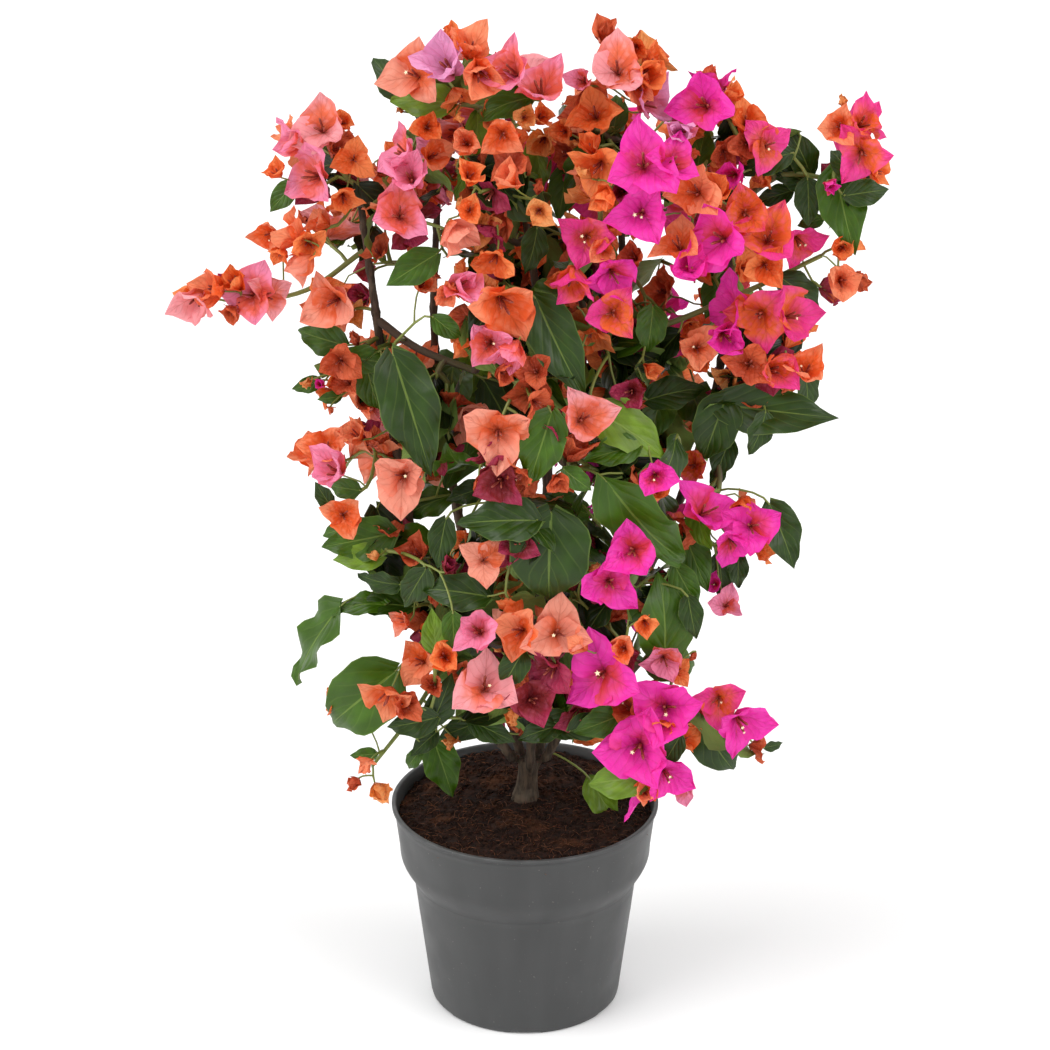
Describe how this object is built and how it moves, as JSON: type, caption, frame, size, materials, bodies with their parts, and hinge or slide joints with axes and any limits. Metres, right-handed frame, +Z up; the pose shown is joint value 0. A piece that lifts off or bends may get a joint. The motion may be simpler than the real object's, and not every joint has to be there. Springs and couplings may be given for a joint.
{
  "type": "potted bougainvillea bush",
  "caption": "Bushy bougainvillea in a round nursery pot: a fan of woody stems carries loose masses of glossy leaves and papery pink, orange and magenta blossom.",
  "frame": {"origin": "middle of the pot's flat underside", "axes": "+Z up, the broad front of the crown towards -Y, the far-reaching blossom spray towards -X"},
  "size_m": [0.4299, 0.2012, 0.6368],
  "materials": {
    "pot": "satin",
    "soil": "matte",
    "bark": "matte",
    "green_bark": "satin",
    "leaves": "satin",
    "bracts_magenta": "matte",
    "bracts_salmon": "matte",
    "bracts_orange": "matte"
  },
  "bodies": {
    "root": {"arch_left": "green_bark", "back_centre": "leaves", "back_foot": "leaves", "back_left": "leaves", "back_low_left": "leaves", "back_low_right": "bracts_magenta", "back_right": "bracts_magenta", "back_top_left": "bracts_salmon", "back_top_right": "bracts_orange", "blooms_centre_upper": "bracts_orange", "blooms_front_low": "bracts_salmon", "blooms_front_middle": "bracts_salmon", "blooms_front_right": "bracts_magenta", "blooms_left_edge": "bracts_orange", "blooms_left_front": "bracts_orange", "blooms_left_lower": "bracts_salmon", "blooms_left_shoulder": "bracts_salmon", "blooms_left_tip": "bracts_salmon", "blooms_low_far_right": "bracts_magenta", "blooms_low_right": "bracts_magenta", "blooms_right_edge": "bracts_orange", "blooms_right_lower": "bracts_magenta", "blooms_right_middle": "bracts_magenta", "blooms_right_tip": "bracts_magenta", "blooms_right_upper": "bracts_magenta", "blooms_top_far_right": "bracts_magenta", "blooms_top_left": "bracts_salmon", "blooms_top_right": "bracts_orange", "blooms_upper_left": "bracts_salmon", "blooms_upper_middle": "bracts_magenta", "leaves_centre": "leaves", "leaves_centre_right": "leaves", "leaves_drooping_left": "leaves", "leaves_front_centre": "leaves", "leaves_front_left": "leaves", "leaves_front_right": "leaves", "leaves_inner_left": "leaves", "leaves_left_front": "leaves", "leaves_left_lower": "leaves", "leaves_left_middle": "leaves", "leaves_low_centre": "leaves", "leaves_low_left": "leaves", "leaves_right_low": "leaves", "leaves_right_middle": "leaves", "leaves_right_shoulder": "leaves", "leaves_upper_middle": "leaves", "pot": "pot", "shoot_left_tip": "green_bark", "shoot_low_left": "green_bark", "shoot_low_right": "bark", "shoot_right_tip": "green_bark", "shoot_right_young": "green_bark", "soil": "soil", "sprig_low_left": "bracts_orange", "stem_back_left": "bark", "stem_back_right": "bark", "stem_centre": "bark", "stem_left": "bark", "stem_right": "bark", "trunk": "bark"}
  },
  "joints": []
}
